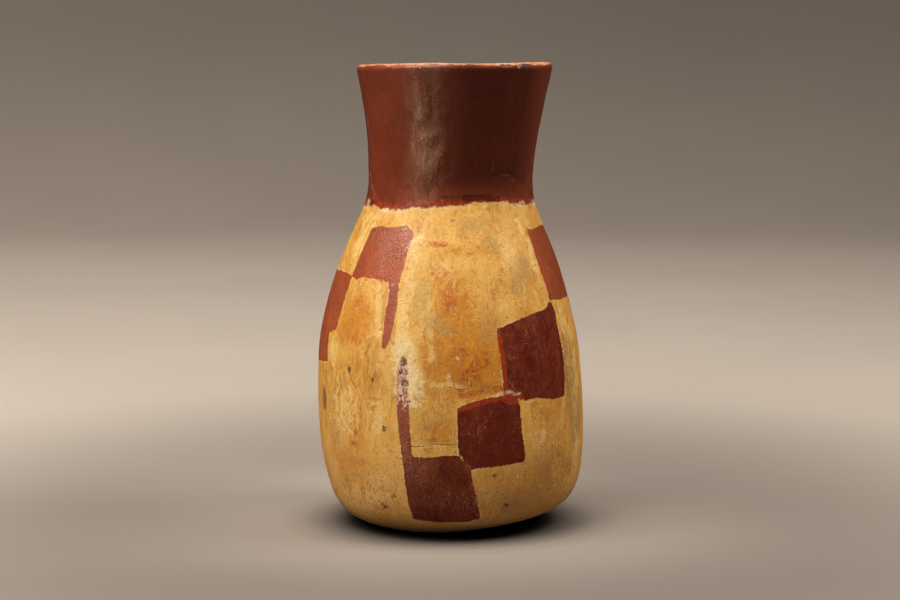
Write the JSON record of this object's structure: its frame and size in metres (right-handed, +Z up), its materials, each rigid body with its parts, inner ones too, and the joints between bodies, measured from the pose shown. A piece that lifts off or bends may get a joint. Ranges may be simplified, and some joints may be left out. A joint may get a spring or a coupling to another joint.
{
  "type": "jug",
  "caption": "Hand-built fired clay jug: pear-shaped body under a tall flaring collar, dark red slip above, tan slip with dark red stepped blocks below.",
  "frame": {"origin": "middle of the painted jug's axis on the plane of its flat resting spot", "axes": "+Z up along the jug's axis; the painted face that the picture shows looks along -Y, and +X is to the right in that view"},
  "size_m": [0.1058, 0.1043, 0.1823],
  "materials": {
    "jug": "burnished slip: tan body with dark red stepped blocks, glossy dark red collar"
  },
  "bodies": {
    "root": {"jug": "jug"}
  },
  "joints": []
}
